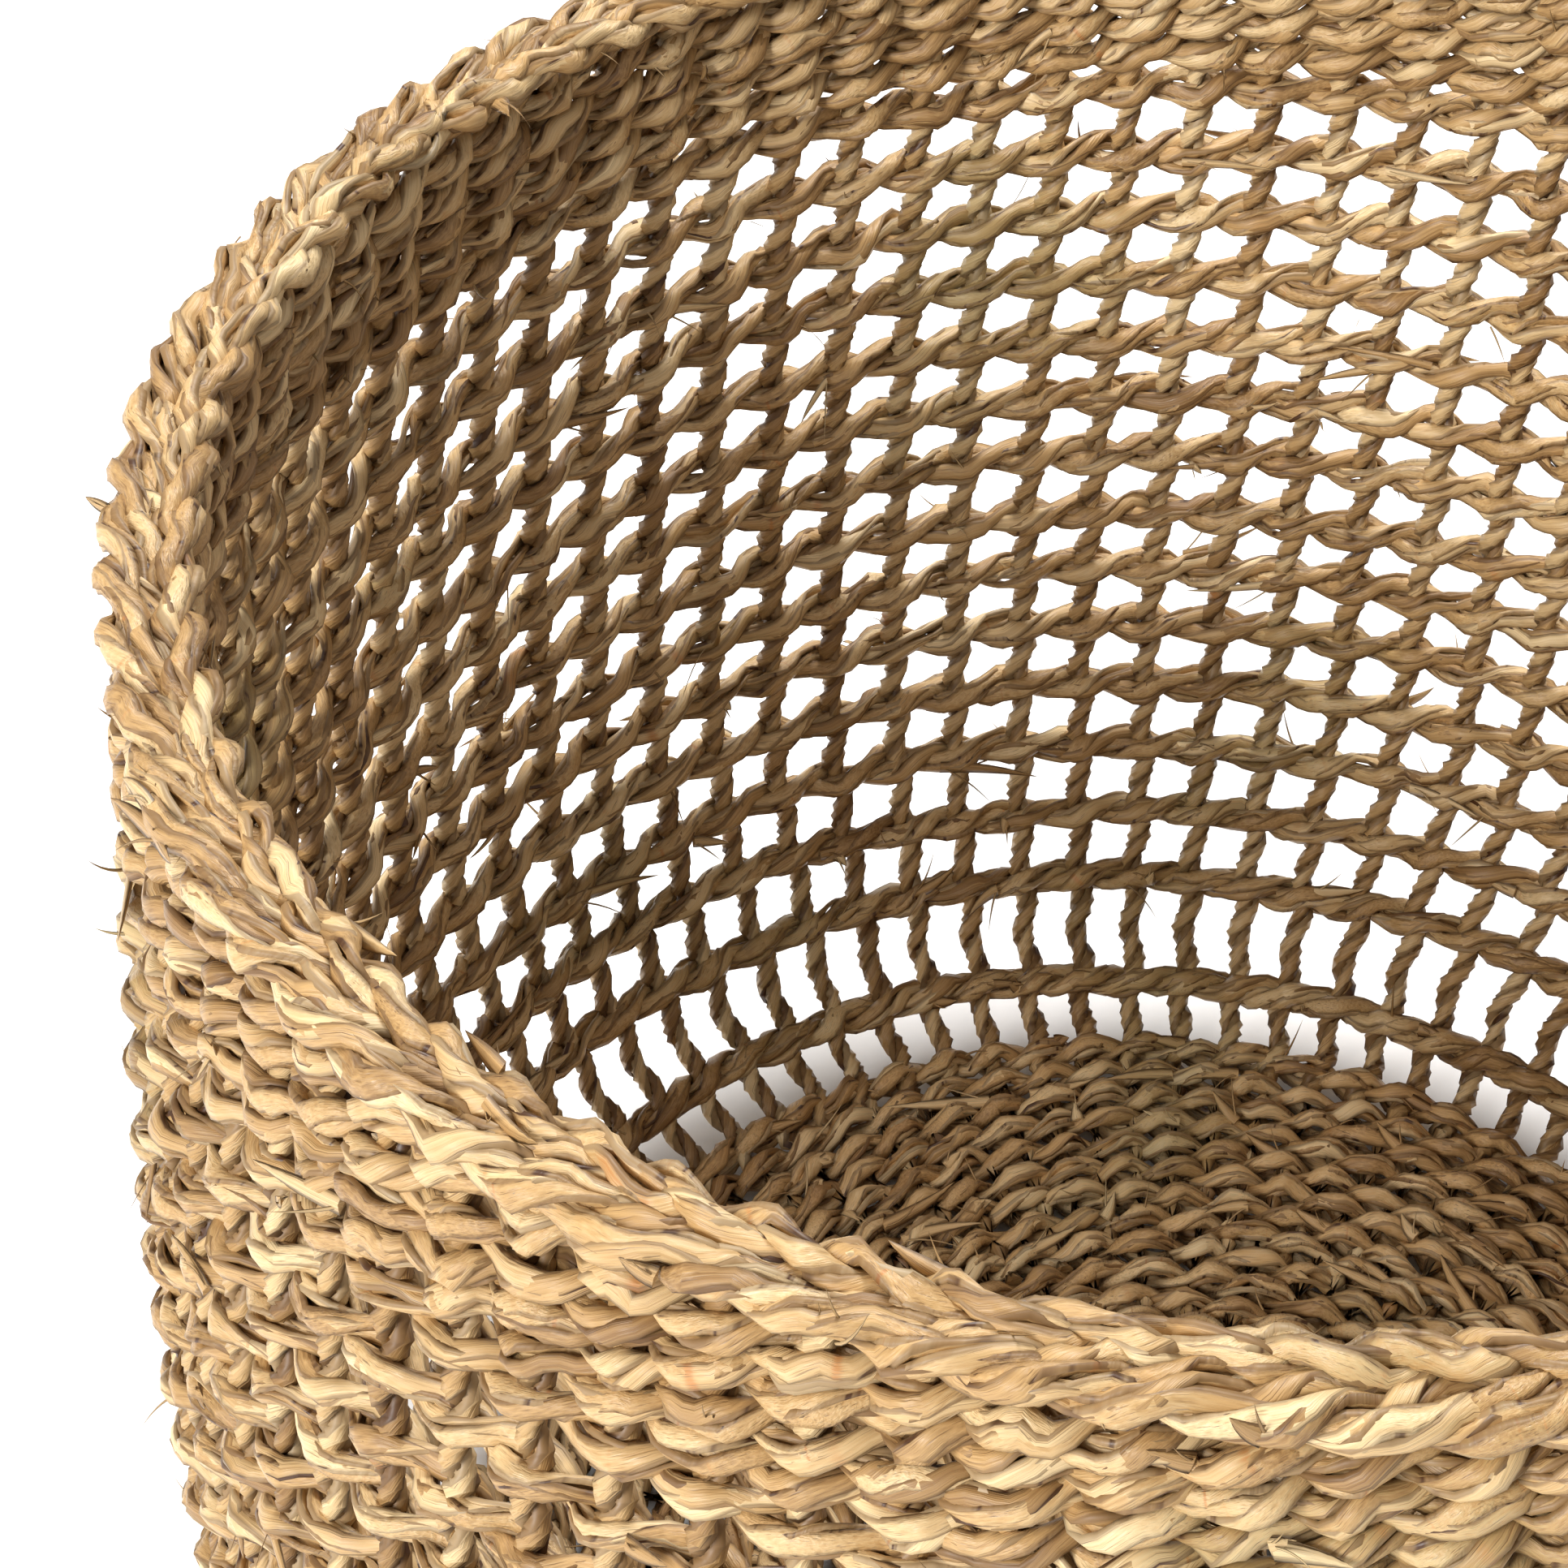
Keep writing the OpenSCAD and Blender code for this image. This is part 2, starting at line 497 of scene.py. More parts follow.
@dataclass(frozen=True)
class StrandBuild:
    """How one strand is bundled from blades, and how it swings round the stakes."""

    blades: int = 4
    blade_width: float = 4.6 * MM
    blade_thickness: float = 1.9 * MM
    bundle_depth: float = 1.3 * MM
    bundle_lift: float = 1.55 * MM
    swing_depth: float = 2.9 * MM
    swing_lift: float = 1.6 * MM
    wander: float = 5.0 * MM
    uneven: float = 2.4
    ply_turns: float = 0.4
    points_per_crossing: int = 7
    section_points: int = 6
    hand: Hand = Hand.RIGHT

    def inputs(self, crossings: int) -> dict[str, Any]:
        """Tree inputs for this build.

        Args:
            crossings: How often the strands cross on the way round.

        Returns:
            The values by input name.
        """
        return {
            "Crossings": float(crossings), "Points": crossings * self.points_per_crossing,
            "Blades": self.blades, "Copies": 2 * self.blades,
            "Swing Depth": self.swing_depth, "Swing Lift": self.swing_lift,
            "Bundle Depth": self.bundle_depth, "Bundle Lift": self.bundle_lift,
            "Blade Width": self.blade_width, "Blade Thickness": self.blade_thickness,
            "Wander": self.wander, "Uneven": self.uneven, "Ply Turns": self.ply_turns,
            "Hand": self.hand.value, "Section Points": self.section_points,
        }


class WovenTree(Graph):
    """Base of the geometry trees: named inputs, and blades laid along curves."""

    def __init__(self, name: str, inputs: dict[str, str]) -> None:
        """Makes the tree and its interface.

        Args:
            name: The tree's name.
            inputs: Socket type of each named input.
        """
        super().__init__(bpy.data.node_groups.new(name, "GeometryNodeTree"))
        face = self.tree.interface
        face.new_socket("Geometry", in_out="OUTPUT", socket_type="NodeSocketGeometry")
        face.new_socket("Geometry", in_out="INPUT", socket_type="NodeSocketGeometry")
        for key, kind in inputs.items():
            face.new_socket(key, in_out="INPUT", socket_type="NodeSocket" + kind)
        self.entry = self.node("NodeGroupInput")

    def given(self, name: str) -> Value:
        """One of the tree's inputs."""
        return Value(self, self.entry.outputs[name])

    def index(self) -> Value:
        """Number of a point along its own spline."""
        return Value(self, self.node("GeometryNodeSplineParameter").outputs["Index"])

    def stored(self, name: str) -> Value:
        """Number stored on the source's points."""
        node = self.node("GeometryNodeInputNamedAttribute", {"data_type": "FLOAT"},
                         {"Name": name})
        return Value(self, node.outputs["Attribute"])

    def keep(self, geometry: Any, name: str, number: Any) -> bpy.types.NodeSocket:
        """Stores a number on the points.

        Args:
            geometry: The geometry.
            name: The attribute's name.
            number: Its value.

        Returns:
            The geometry with the attribute.
        """
        node = self.node("GeometryNodeStoreNamedAttribute",
                         {"data_type": "FLOAT", "domain": "POINT"},
                         {"Geometry": geometry, "Name": name, "Value": number})
        return node.outputs["Geometry"]

    def copies(self, curve: Any, amount: Any) -> tuple[bpy.types.NodeSocket, Value]:
        """Copies a spline.

        Args:
            curve: The curve.
            amount: How many splines come out.

        Returns:
            The curves, and the number of each copy.
        """
        node = self.node("GeometryNodeDuplicateElements", {"domain": "SPLINE"},
                         {"Geometry": curve, "Amount": amount})
        return node.outputs["Geometry"], Value(self, node.outputs["Duplicate Index"])

    def place(self, radius: Any, height: Any, turn: Any, angle: Value,
              out: Any, up: Any, side: Any = 0.0) -> Arrow:
        """Point beside a stake.

        Args:
            radius: Radius of the stake's centre line there.
            height: Its height.
            turn: Its direction.
            angle: The stake's place round the basket.
            out: Offset out of the basket.
            up: Offset along the stake.
            side: Offset round the basket.

        Returns:
            The point.
        """
        r = out * self.sin(turn) + up * self.cos(turn) + radius
        z = up * self.sin(turn) - out * self.cos(turn) + height
        c, s = self.cos(angle), self.sin(angle)
        return self.combine(r * c - s * side, r * s + c * side, z)

    def ring(self, angle: Value) -> Arrow:
        """Point on the unit circle, on which noise has no seam."""
        return self.combine(self.cos(angle), self.sin(angle), 0.0)

    def blades(self, curve: Any, point: Arrow, facing: Arrow, swell: Any, sides: Any) -> None:
        """Lays blades along the curves and ends the tree.

        Args:
            curve: The curves.
            point: Where each point of theirs goes.
            facing: The way a blade's flat side looks.
            swell: Scale of its section.
            sides: Points round its section.
        """
        moved = self.node("GeometryNodeSetPosition", {}, {"Geometry": curve, "Position": point})
        turned = self.node("GeometryNodeSetCurveNormal", {"mode": "FREE"},
                           {"Curve": moved.outputs[0], "Normal": facing})
        ring = self.node("GeometryNodeCurvePrimitiveCircle", {"mode": "RADIUS"},
                         {"Resolution": sides, "Radius": 1.0})
        where = self.node("GeometryNodeInputPosition").outputs[0]
        spot = self.node("ShaderNodeSeparateXYZ", {}, {"Vector": where})
        marked = self.keep(ring.outputs["Curve"], "across", Value(self, spot.outputs["Y"]))
        size = self.combine(
            self.given("Blade Thickness") * 0.5, self.given("Blade Width") * 0.5, 1.0)
        section = self.node("GeometryNodeTransform", {}, {"Geometry": marked, "Scale": size})
        skin = self.node("GeometryNodeCurveToMesh", {}, {
            "Curve": turned.outputs[0], "Profile Curve": section.outputs[0],
            "Scale": swell, "Fill Caps": True})
        smooth = self.node("GeometryNodeSetShadeSmooth", {},
                           {"Geometry": skin.outputs[0], "Shade Smooth": True})
        real = self.node("GeometryNodeRealizeInstances", {}, {"Geometry": smooth.outputs[0]})
        dressed = self.node("GeometryNodeSetMaterial", {},
                            {"Geometry": real.outputs[0], "Material": self.given("Material")})
        self.node("NodeGroupOutput", {}, {"Geometry": dressed.outputs[0]})


class RingTree(WovenTree):
    """A pair of bundled strands that twist round each other all the way round the basket."""

    INPUTS = {
        "Radius": "Float", "Height": "Float", "Turn": "Float", "Crossings": "Float",
        "Points": "Int", "Blades": "Int", "Copies": "Int", "Swing Depth": "Float",
        "Swing Lift": "Float", "Bundle Depth": "Float", "Bundle Lift": "Float",
        "Blade Width": "Float", "Blade Thickness": "Float", "Wander": "Float",
        "Uneven": "Float", "Ply Turns": "Float", "Hand": "Float", "Section Points": "Int",
        "Seed": "Float", "Material": "Material",
    }

    def __init__(self) -> None:
        """Wires the tree."""
        super().__init__("twined_ring", self.INPUTS)
        given = self.given
        circle = self.node("GeometryNodeCurvePrimitiveCircle", {"mode": "RADIUS"},
                           {"Resolution": given("Points"), "Radius": given("Radius")})
        curve, number = self.copies(circle.outputs["Curve"], given("Copies"))
        angle = self.index() / given("Points") * TAU
        strand = self.floor((number + 0.5) / given("Blades"))
        blade = number - strand * given("Blades")
        ring = self.ring(angle)
        strand_seed = given("Seed") + strand * 7.3
        blade_seed = strand_seed + blade * 2.9 + 40.0
        crossings = given("Crossings")

        uneven = self.noise(ring, strand_seed + 3.0, crossings * 0.19, 1.0) * given("Uneven")
        loose = self.noise(ring, strand_seed + 17.0, crossings * 0.25, 1.0)
        slack = self.noise(ring, given("Seed") + 9.0, 4.0, 2.0)
        swing = angle * (crossings * 0.5) + strand * math.pi + uneven
        over = self.sin(swing)
        pinch = 1.0 - over * over * 0.24
        drift = self.noise(ring, blade_seed, crossings * 0.14, 1.0)
        spin = (blade / given("Blades") * TAU + swing * given("Ply Turns")
                + drift * 7.0 + strand * 1.7)
        stray = self.noise(ring, blade_seed + 5.0, crossings * 0.3, 1.0)
        fatness = self.noise(ring, blade_seed + 11.0, crossings * 0.22, 1.0)
        out = (self.cos(swing) * (loose * 0.5 + 1.0) * given("Swing Depth")
               + self.cos(spin) * given("Bundle Depth"))
        up = (over * (loose * 0.8 + 1.0) * given("Swing Lift") * given("Hand")
              + self.sin(spin) * given("Bundle Lift") * pinch
              + slack * given("Wander") + stray * given("Bundle Lift") * 2.3)
        point = self.place(given("Radius"), given("Height"), given("Turn"), angle, out, up)
        facing = self.place(0.0, 0.0, given("Turn"), angle,
                            self.cos(spin) * 1.4, self.sin(spin) * 0.85)
        colour = self.noise(ring, blade_seed + 23.0, 3.0, 0.0)
        curve = self.keep(curve, "along", angle * given("Radius") + blade * 0.37)
        curve = self.keep(curve, "tint", self.clamped(colour * 2.3 + 0.5))
        self.blades(curve, point, facing, pinch * (fatness * 0.95 + 1.0), given("Section Points"))


class StakeTree(WovenTree):
    """Two-ply cords laid along the basket's profile, one for each stake."""

    INPUTS = {
        "Stakes": "Int", "First Angle": "Float", "Step": "Float", "Plies": "Int", "Copies": "Int",
        "Ply Offset": "Float", "Twist Length": "Float",
        "Blade Width": "Float", "Blade Thickness": "Float",
        "Lean": "Float", "Lean From": "Float", "Lean Pitch": "Float", "Wander": "Float",
        "Section Points": "Int", "Seed": "Float", "Material": "Material",
    }

    def __init__(self) -> None:
        """Wires the tree."""
        super().__init__("twisted_stakes", self.INPUTS)
        line = self.node("GeometryNodeMeshToCurve", {}, {"Mesh": self.given("Geometry")})
        curve, number = self.copies(line.outputs[0], self.given("Copies"))
        stake = self.floor((number + 0.5) / self.given("Plies"))
        ply = number - stake * self.given("Plies")
        angle = stake * self.given("Step") + self.given("First Angle")
        s, shown = self.stored("reach"), self.stored("shown")
        radius, height, turn = self.stored("radius"), self.stored("height"), self.stored("turn")
        spot = self.combine(s * 38.0, stake * 3.7, ply * 5.1)
        slip = self.noise(spot, self.given("Seed"), 1.0, 1.0)
        lump = self.noise(spot, self.given("Seed") + 8.0, 4.2, 1.0)
        bend = self.combine(s * 24.0, stake * 2.3, 0.0)
        sway = self.noise(bend, self.given("Seed") + 4.0, 1.0, 0.0)
        twist = (s / self.given("Twist Length") * TAU + ply * math.pi
                 + stake * 2.1 + slip * 2.4)
        away = self.given("Ply Offset") * shown * (lump * 0.5 + 1.0)
        phase = (s - self.given("Lean From")) / self.given("Lean Pitch") * TAU
        lean = self.sin(phase) * self.given("Lean")
        side = self.sin(twist) * away + (sway * self.given("Wander") + lean) * shown
        out = self.cos(twist) * away
        point = self.place(radius, height, turn, angle, out, 0.0, side)
        facing = self.place(0.0, 0.0, turn, angle, self.cos(twist), 0.0, self.sin(twist))
        curve = self.keep(curve, "along", s + stake * 0.61 + ply * 0.23)
        patch = self.combine(stake * 9.1, ply * 3.3, s * 4.0)
        colour = self.noise(patch, self.given("Seed") + 31.0, 1.0, 0.0)
        curve = self.keep(curve, "tint", self.clamped(colour * 2.2 + 0.45))
        self.blades(curve, point, facing, lump * 0.9 + 1.0, self.given("Section Points"))


class FibreTree(WovenTree):
    """Loose ends that leave a ring: thin hairs, or blade ends that lie along it."""

    INPUTS = {
        "Radius": "Float", "Height": "Float", "Turn": "Float", "Count": "Int", "Length": "Float",
        "Spread": "Float", "Blade Width": "Float", "Blade Thickness": "Float", "Outside": "Float",
        "Seed": "Float", "Material": "Material",
    }
    POINTS = 7
    CLEAR = 3.2 * MM

    def __init__(self) -> None:
        """Wires the tree."""
        super().__init__("loose_ends", self.INPUTS)
        given = self.given
        line = self.node("GeometryNodeCurvePrimitiveLine", {"mode": "POINTS"},
                         {"End": (0.01, 0.0, 0.0)})
        fine = self.node("GeometryNodeResampleCurve", {},
                         {"Curve": line.outputs[0], "Count": self.POINTS})
        curve, number = self.copies(fine.outputs[0], given("Count"))
        t = self.index() / float(self.POINTS - 1)
        angle = self.chance(number, 1.0) * TAU
        face = self.floor(self.chance(number, 2.0) + given("Outside")) * 2.0 - 1.0
        length = given("Length") * (self.chance(number, 3.0) + 0.35)
        side = t * length * (self.chance(number, 4.0) - 0.5) * 2.0
        rise = ((self.chance(number, 5.0) - 0.5) * (t + 0.15)
                + (self.chance(number, 6.0) - 0.5) * t * t)
        lift = t * (self.chance(number, 7.0) * 0.7 + 0.2)
        out = face * (self.CLEAR + lift * length * given("Spread"))
        up = rise * length * given("Spread") * 1.6 + (self.chance(number, 8.0) - 0.5) * 3.0 * MM
        point = self.place(given("Radius"), given("Height"), given("Turn"), angle, out, up, side)
        facing = self.place(0.0, 0.0, given("Turn"), angle, 1.0, 0.3)
        curve = self.keep(curve, "along", t * length + number * 0.31)
        curve = self.keep(curve, "tint", self.chance(number, 9.0))
        self.blades(curve, point, facing, 1.04 - t * t, 4)

    def chance(self, number: Value, draw: float) -> Value:
        """Random number from 0 to 1 for one loose end.

        Args:
            number: The loose end's number.
            draw: Which of its random numbers.

        Returns:
            The number.
        """
        node = self.node("ShaderNodeTexWhiteNoise", {"noise_dimensions": "3D"},
                         {"Vector": self.combine(number, self.given("Seed"), draw)})
        return Value(self, node.outputs["Value"])


def bake(name: str, source: bpy.types.Mesh, tree: WovenTree,
         values: dict[str, Any]) -> bpy.types.Object:
    """Runs a tree and keeps its result as a plain mesh.

    Args:
        name: The new object's name.
        source: Mesh that the tree starts from.
        tree: The tree.
        values: Its inputs, by name.

    Returns:
        An object at the origin with the finished mesh.
    """
    made = bpy.data.objects.new(name, source)
    bpy.context.scene.collection.objects.link(made)
    modifier = made.modifiers.new("weave", "NODES")
    modifier.node_group = tree.tree
    sockets = {item.name: item.identifier for item in tree.tree.interface.items_tree
               if item.in_out == "INPUT"}
    for key, value in values.items():
        modifier[sockets[key]] = value
    graph = bpy.context.evaluated_depsgraph_get()
    mesh = bpy.data.meshes.new_from_object(
        made.evaluated_get(graph), preserve_all_data_layers=True, depsgraph=graph)
    made.modifiers.remove(modifier)
    made.data = mesh
    mesh.name = name
    if not source.users:
        bpy.data.meshes.remove(source)
    return made


def blank() -> bpy.types.Mesh:
    """Empty mesh for a tree that makes its own curves."""
    return bpy.data.meshes.new("seed")


def triangles(obj: bpy.types.Object) -> int:
    """Counts an object's triangles."""
    return sum(len(face.vertices) - 2 for face in obj.data.polygons)


def finish_piece(obj: bpy.types.Object, slot: str, *nodes: str) -> None:
    """Hangs a piece on the basket, hides the CAD nodes that it replaces and logs its triangles.

    Args:
        obj: The piece.
        slot: Not used.
        *nodes: CAD nodes that it replaces.
    """
    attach(obj, BODY)
    if nodes:
        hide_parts(*nodes)
    LOG.info("%s: %d triangles", obj.name, triangles(obj))


# --------------------------------------------------------------------------- sub-assemblies


@dataclass
class WeftRing:
    """A pair of strands twined once round the basket."""

    node: str
    at: float
    crossings: int
    build: StrandBuild
    slot: str
    seed: float
    outward: float = 0.0
    hairs: int = 44
    ends: int = 30
    clear_of_floor: float = 45 * MM

    def make(self, shape: WallShape, tree: RingTree, loose: FibreTree,
             finish: bpy.types.Material) -> bpy.types.Object:
        """Builds the ring and the loose ends on it.

        Args:
            shape: The basket's shape.
            tree: The twining tree.
            loose: The tree of the loose ends.
            finish: Its material.

        Returns:
            The finished piece.
        """
        radius, height = shape.point_at(self.at)
        common = {"Radius": radius + self.outward, "Height": height, "Turn": shape.turn_at(self.at),
                  "Seed": self.seed, "Material": finish}
        share = radius / shape.belly_radius
        outside = {"Outside": 0.5 if height > self.clear_of_floor else 0.0}
        parts = [
            bake("ring", blank(), tree, self.build.inputs(self.crossings) | common),
            bake("hairs", blank(), loose, common | outside | {
                "Count": max(3, round(self.hairs * share)), "Length": 9 * MM, "Spread": 0.9,
                "Blade Width": 0.6 * MM, "Blade Thickness": 0.3 * MM}),
            bake("ends", blank(), loose, common | outside | {
                "Count": max(2, round(self.ends * share)), "Length": 19 * MM, "Spread": 0.24,
                "Blade Width": 3.4 * MM, "Blade Thickness": 1.2 * MM}),
        ]
        piece = join(f"{self.node}_weave", parts)
        finish_piece(piece, self.slot, self.node)
        return piece


@dataclass
class Weave:
    """All the twined rows: base, foot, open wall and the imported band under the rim."""

    shape: WallShape
    finish: bpy.types.Material
    base_finish: bpy.types.Material
    base_rows: int = 18
    wall_rows: int = 14
    band_rows: int = 4
    stakes: int = 80
    base_crossing: float = 12.6 * MM
    base_gap: float = 1.1 * MM
    open_build: StrandBuild = StrandBuild()
    base_build: StrandBuild = StrandBuild(
        blades=3, blade_width=4.6 * MM, blade_thickness=1.8 * MM,
        bundle_depth=1.0 * MM, bundle_lift=1.3 * MM,
        swing_depth=3.4 * MM, swing_lift=1.5 * MM, wander=3.4 * MM, uneven=2.2, ply_turns=0.15)
    band_build: StrandBuild = StrandBuild(
        blades=4, blade_width=4.3 * MM, blade_thickness=2.1 * MM,
        bundle_depth=1.5 * MM, bundle_lift=2.0 * MM,
        swing_depth=3.4 * MM, swing_lift=1.7 * MM, wander=3.6 * MM, uneven=3.4, ply_turns=0.9)

    def rings(self) -> list[WeftRing]:
        """Lists every ring, each where its CAD node is.

        Returns:
            The rings from the middle of the base to the rim.
        """
        found = []
        for i in range(1, self.base_rows + 1):
            node = f"base_row_{i:02d}"
            _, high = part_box(node)
            width = self.base_pitch() - self.base_gap
            at = high.x - width / 2
            crossings = min(self.stakes, 2 * max(3, round(TAU * at / self.base_crossing / 2)))
            found.append(WeftRing(node, at, crossings, self.base_build, "base_weft", 3.7 * i))
        found.append(self._wall_ring("foot_row", self.open_build, 91.0))
        for i in range(1, self.wall_rows + 1):
            found.append(self._wall_ring(f"wall_row_{i:02d}", self.open_build, 100 + 5.3 * i))
        for i in range(1, self.band_rows + 1):
            found.append(self._wall_ring(f"band_row_{i}", self.band_build, 200 + 4.1 * i))
        return found

    def base_pitch(self) -> float:
        """Distance between two base rows."""
        first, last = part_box("base_row_01")[1].x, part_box(f"base_row_{self.base_rows}")[1].x
        return (last - first) / (self.base_rows - 1)

    def _wall_ring(self, node: str, build: StrandBuild, seed: float) -> WeftRing:
        """Ring of a row on the wall, at the height of its CAD node."""
        at = row_distance(self.shape, node)
        return WeftRing(node, at, self.stakes, build, "wall_weft", seed)

    def make(self) -> list[bpy.types.Object]:
        """Builds every ring."""
        tree, loose = RingTree(), FibreTree()
        finishes = {"base_weft": self.base_finish, "wall_weft": self.finish}
        return [ring.make(self.shape, tree, loose, finishes[ring.slot]) for ring in self.rings()]


@dataclass
class Stakes:
    """The warp: eighty two-ply cords in sets of ten."""

    shape: WallShape
    finish: bpy.types.Material
    count: int = 80
    sets: int = 8
    gap: float = 0.4 * MM
    fine_from: float = 138 * MM
    fine_step: float = 2.0 * MM
    coarse_step: float = 9.0 * MM
    ply: float = 4.2 * MM
    ply_offset: float = 1.2 * MM
    twist_length: float = 15 * MM
    lean: float = 0.8 * MM
    wander: float = 1.8 * MM
    below_top: float = 5 * MM
    shown_on_base: float = 0.45

    def start(self, count: int) -> float:
        """Nearest distance from the middle at which this many stakes lie side by side."""
        return (self.shape.stake + self.gap) / (2 * math.sin(math.pi / count))

    def line(self, start: float, end: float) -> bpy.types.Mesh:
        """Profile of one stake as a chain of points with their shape stored on them.

        Args:
            start: Distance from the middle at which the stake begins.
            end: Distance along it at which it ends.

        Returns:
            The chain.
        """
        coarse = int((self.fine_from - start) / self.coarse_step)
        steps = [start + i * self.coarse_step for i in range(coarse + 1)]
        fine = int((end - self.fine_from) / self.fine_step)
        steps += [self.fine_from + i * (end - self.fine_from) / fine for i in range(fine + 1)]
        mesh = bpy.data.meshes.new("profile")
        places = [self.shape.point_at(s) for s in steps]
        links = [(i, i + 1) for i in range(len(steps) - 1)]
        mesh.from_pydata([(r, 0.0, z) for r, z in places], links, [])
        columns = {
            "reach": steps,
            "radius": [r for r, _ in places],
            "height": [z for _, z in places],
            "turn": [self.shape.turn_at(s) for s in steps],
            "shown": [1.0 if s >= self.fine_from else self.shown_on_base for s in steps],
        }
        for name, numbers in columns.items():
            mesh.attributes.new(name, "FLOAT", "POINT").data.foreach_set("value", numbers)
        return mesh

    def make(self) -> list[bpy.types.Object]:
        """Builds each set of stakes."""
        tree = StakeTree()
        first_row = row_distance(self.shape, "wall_row_01")
        last_row = row_distance(self.shape, f"wall_row_{Weave.wall_rows}")
        pitch = (last_row - first_row) / (Weave.wall_rows - 1)
        end = self.shape.top_at - self.below_top
        layout = {
            "centre_stakes": (0, self.start(self.count // self.sets)),
            "second_stakes": (4, self.start(self.count // 4)),
            "third_stakes_a": (2, self.start(self.count // 2)),
            "third_stakes_b": (6, self.start(self.count // 2)),
            "outer_stakes_a": (1, self.start(self.count)),
            "outer_stakes_b": (3, self.start(self.count)),
            "outer_stakes_c": (5, self.start(self.count)),
            "outer_stakes_d": (7, self.start(self.count)),
        }
        made = []
        for node, (first, start) in layout.items():
            piece = bake(f"{node}_cord", self.line(start, end), tree, {
                "Stakes": self.count // self.sets, "First Angle": first * TAU / self.count,
                "Step": self.sets * TAU / self.count, "Plies": 2,
                "Copies": 2 * self.count // self.sets,
                "Ply Offset": self.ply_offset, "Twist Length": self.twist_length,
                "Blade Width": self.ply, "Blade Thickness": self.ply * 0.82,
                "Lean": self.lean, "Lean From": first_row, "Lean Pitch": pitch,
                "Wander": self.wander,
                "Section Points": 6, "Seed": 300.0 + first, "Material": self.finish})
            finish_piece(piece, "stake_cord", node)
            made.append(piece)
        return made


@dataclass
class Border:
    """Plaited edge that locks the stake ends: two chains twisted opposite ways, over a core."""

    shape: WallShape
    finish: bpy.types.Material
    crossings: int = 80
    chain_apart: float = 4.2 * MM
    outer_drop: float = 2.6 * MM
    inner_drop: float = 2.2 * MM
    core_drop: float = 4.0 * MM
    chain: StrandBuild = StrandBuild(
        blade_width=4.8 * MM, blade_thickness=2.4 * MM, bundle_depth=1.6 * MM, bundle_lift=1.4 * MM,
        swing_depth=1.9 * MM, swing_lift=1.5 * MM, wander=4.0 * MM, uneven=4.0, ply_turns=0.6)

    def make(self) -> list[bpy.types.Object]:
        """Builds the outer chain, the inner chain and the core between them."""
        tree, loose = RingTree(), FibreTree()
        top = self.shape.top_at
        inner = replace(self.chain, hand=Hand.LEFT)
        core = replace(self.chain, swing_depth=2.2 * MM)
        layout = (
            WeftRing("border_outer_strand", top - self.outer_drop, self.crossings, self.chain,
                     "rim_braid", 401.0, self.chain_apart),
            WeftRing("border_inner_strand", top - self.inner_drop, self.crossings, inner,
                     "rim_braid", 417.0, -self.chain_apart),
            WeftRing("border_top_strand", top - self.core_drop, self.crossings, core,
                     "rim_braid", 433.0),
        )
        return [ring.make(self.shape, tree, loose, self.finish) for ring in layout]


@dataclass
class CentreKnot:
    """Small coiled pad where the first stakes meet."""

    shape: WallShape
    finish: bpy.types.Material

    def make(self) -> bpy.types.Object:
        """Builds the pad from two small twined rings."""
        tree = RingTree()
        parts = []
        for i, (at, crossings) in enumerate(((1.4 * MM, 4), (5.2 * MM, 6))):
            build = replace(Weave.base_build, wander=0.5 * MM, swing_lift=(0.6 + 0.9 * i) * MM)
            place = {"Radius": at, "Height": self.shape.base_height, "Turn": 0.0}
            look = {"Seed": 500.0 + i, "Material": self.finish}
            parts.append(bake(f"knot_{i}", blank(), tree, build.inputs(crossings) | place | look))
        piece = join("base_centre_knot_weave", parts)
        finish_piece(piece, "base_weft", "base_centre_knot")
        return piece


def join(name: str, parts: list[bpy.types.Object]) -> bpy.types.Object:
    """Joins objects into the first of them.

    Args:
        name: The joined object's name.
        parts: The objects.

    Returns:
        The joined object.
    """
    with bpy.context.temp_override(active_object=parts[0], object=parts[0],
                                   selected_objects=parts, selected_editable_objects=parts):
        bpy.ops.object.join()
    parts[0].name = name
    parts[0].data.name = name
    return parts[0]


# --------------------------------------------------------------------------- studio


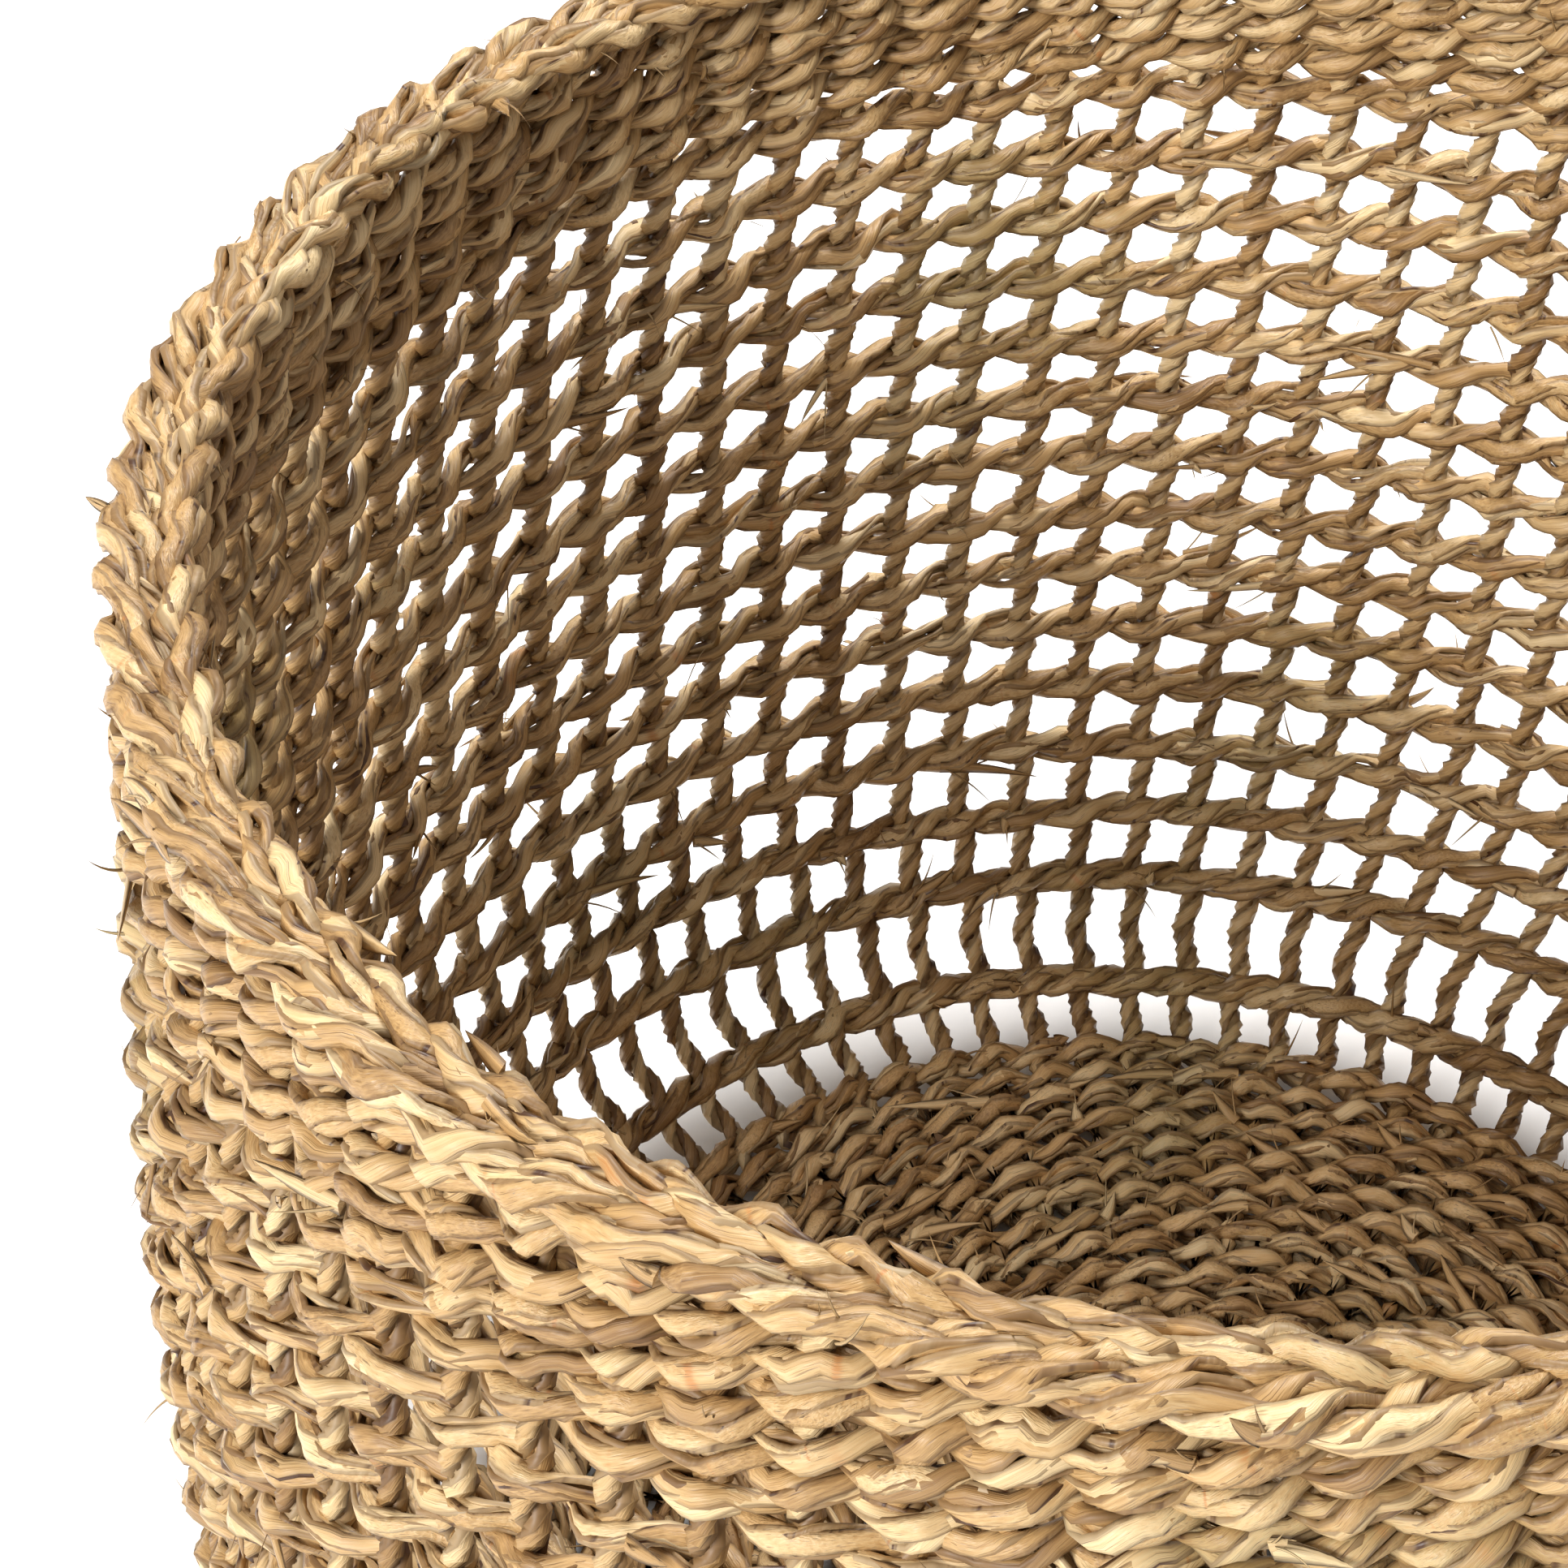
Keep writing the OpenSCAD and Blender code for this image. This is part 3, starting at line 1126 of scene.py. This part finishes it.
@dataclass(frozen=True)
class Studio:
    """Pale floor, soft lights and the camera."""

    camera_at: tuple[float, float, float] = (-0.1357, -0.4503, 0.6673)
    camera_down: float = 43.34
    camera_right: float = 7.08
    lens: float = 84.99
    floor_size: float = 6.0
    lamp_size: float = 1.2
    lamp_aim: tuple[float, float, float] = (0.0, 0.0, 0.15)
    room_light: float = 0.47

    def make(self) -> None:
        """Builds the floor, the lights and the camera."""
        self._floor()
        self._world()
        self._area("key", (-2.25, -1.75, 1.85), 124.0)
        self._area("back", (0.5, 1.5, 2.5), 92.0)
        self._camera()

    def _floor(self) -> None:
        """Lays the floor under the basket."""
        half = self.floor_size / 2
        mesh = bpy.data.meshes.new("floor")
        corners = [(-half, -half, 0), (half, -half, 0), (half, half, 0), (-half, half, 0)]
        mesh.from_pydata(corners, [], [(0, 1, 2, 3)])
        floor = bpy.data.objects.new("floor", mesh)
        bpy.context.scene.collection.objects.link(floor)
        mesh.materials.append(FloorFinish().material())
        floor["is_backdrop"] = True

    def _world(self) -> None:
        """Fills the room with even white light."""
        world = bpy.data.worlds.new("studio")
        bpy.context.scene.world = world
        world.use_nodes = True
        back = world.node_tree.nodes["Background"]
        back.inputs["Color"].default_value = (1.0, 1.0, 1.0, 1.0)
        back.inputs["Strength"].default_value = self.room_light

    def _area(self, name: str, at: tuple[float, float, float], watts: float) -> None:
        """Adds a square soft light that looks at the basket."""
        lamp = bpy.data.lights.new(name, "AREA")
        lamp.shape = "SQUARE"
        lamp.size = self.lamp_size
        lamp.energy = watts
        made = bpy.data.objects.new(name, lamp)
        made.location = at
        look = Vector(self.lamp_aim) - Vector(at)
        made.rotation_euler = look.to_track_quat("-Z", "Y").to_euler()
        bpy.context.scene.collection.objects.link(made)

    def _camera(self) -> None:
        """Adds the camera and makes it the scene's."""
        data = bpy.data.cameras.new("camera")
        data.lens = self.lens
        data.sensor_width = 36.0
        data.clip_start = 0.01
        made = bpy.data.objects.new("camera", data)
        made.location = self.camera_at
        made.rotation_euler = (math.radians(90 - self.camera_down), 0.0,
                               math.radians(-self.camera_right))
        bpy.context.scene.collection.objects.link(made)
        bpy.context.scene.camera = made


def main() -> None:
    """Builds the basket, its sub-assemblies in order, and the studio."""
    logging.basicConfig(level=logging.INFO, format="%(name)s: %(message)s")
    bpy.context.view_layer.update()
    shape = read_shape()
    bpy.context.scene.view_settings.view_transform = "Standard"
    weft = SeagrassFinish("seagrass_weft").material()
    cord = SeagrassFinish("seagrass_cord").material()
    base = SeagrassFinish("seagrass_base", dark=linear(152, 113, 68), straw=linear(206, 166, 112),
                          pale=linear(230, 198, 148)).material()
    rim = SeagrassFinish("seagrass_rim").material()
    Weave(shape, weft, base).make()
    CentreKnot(shape, base).make()
    Stakes(shape, cord).make()
    Border(shape, rim).make()
    Studio().make()


if __name__ == "__main__":
    main()
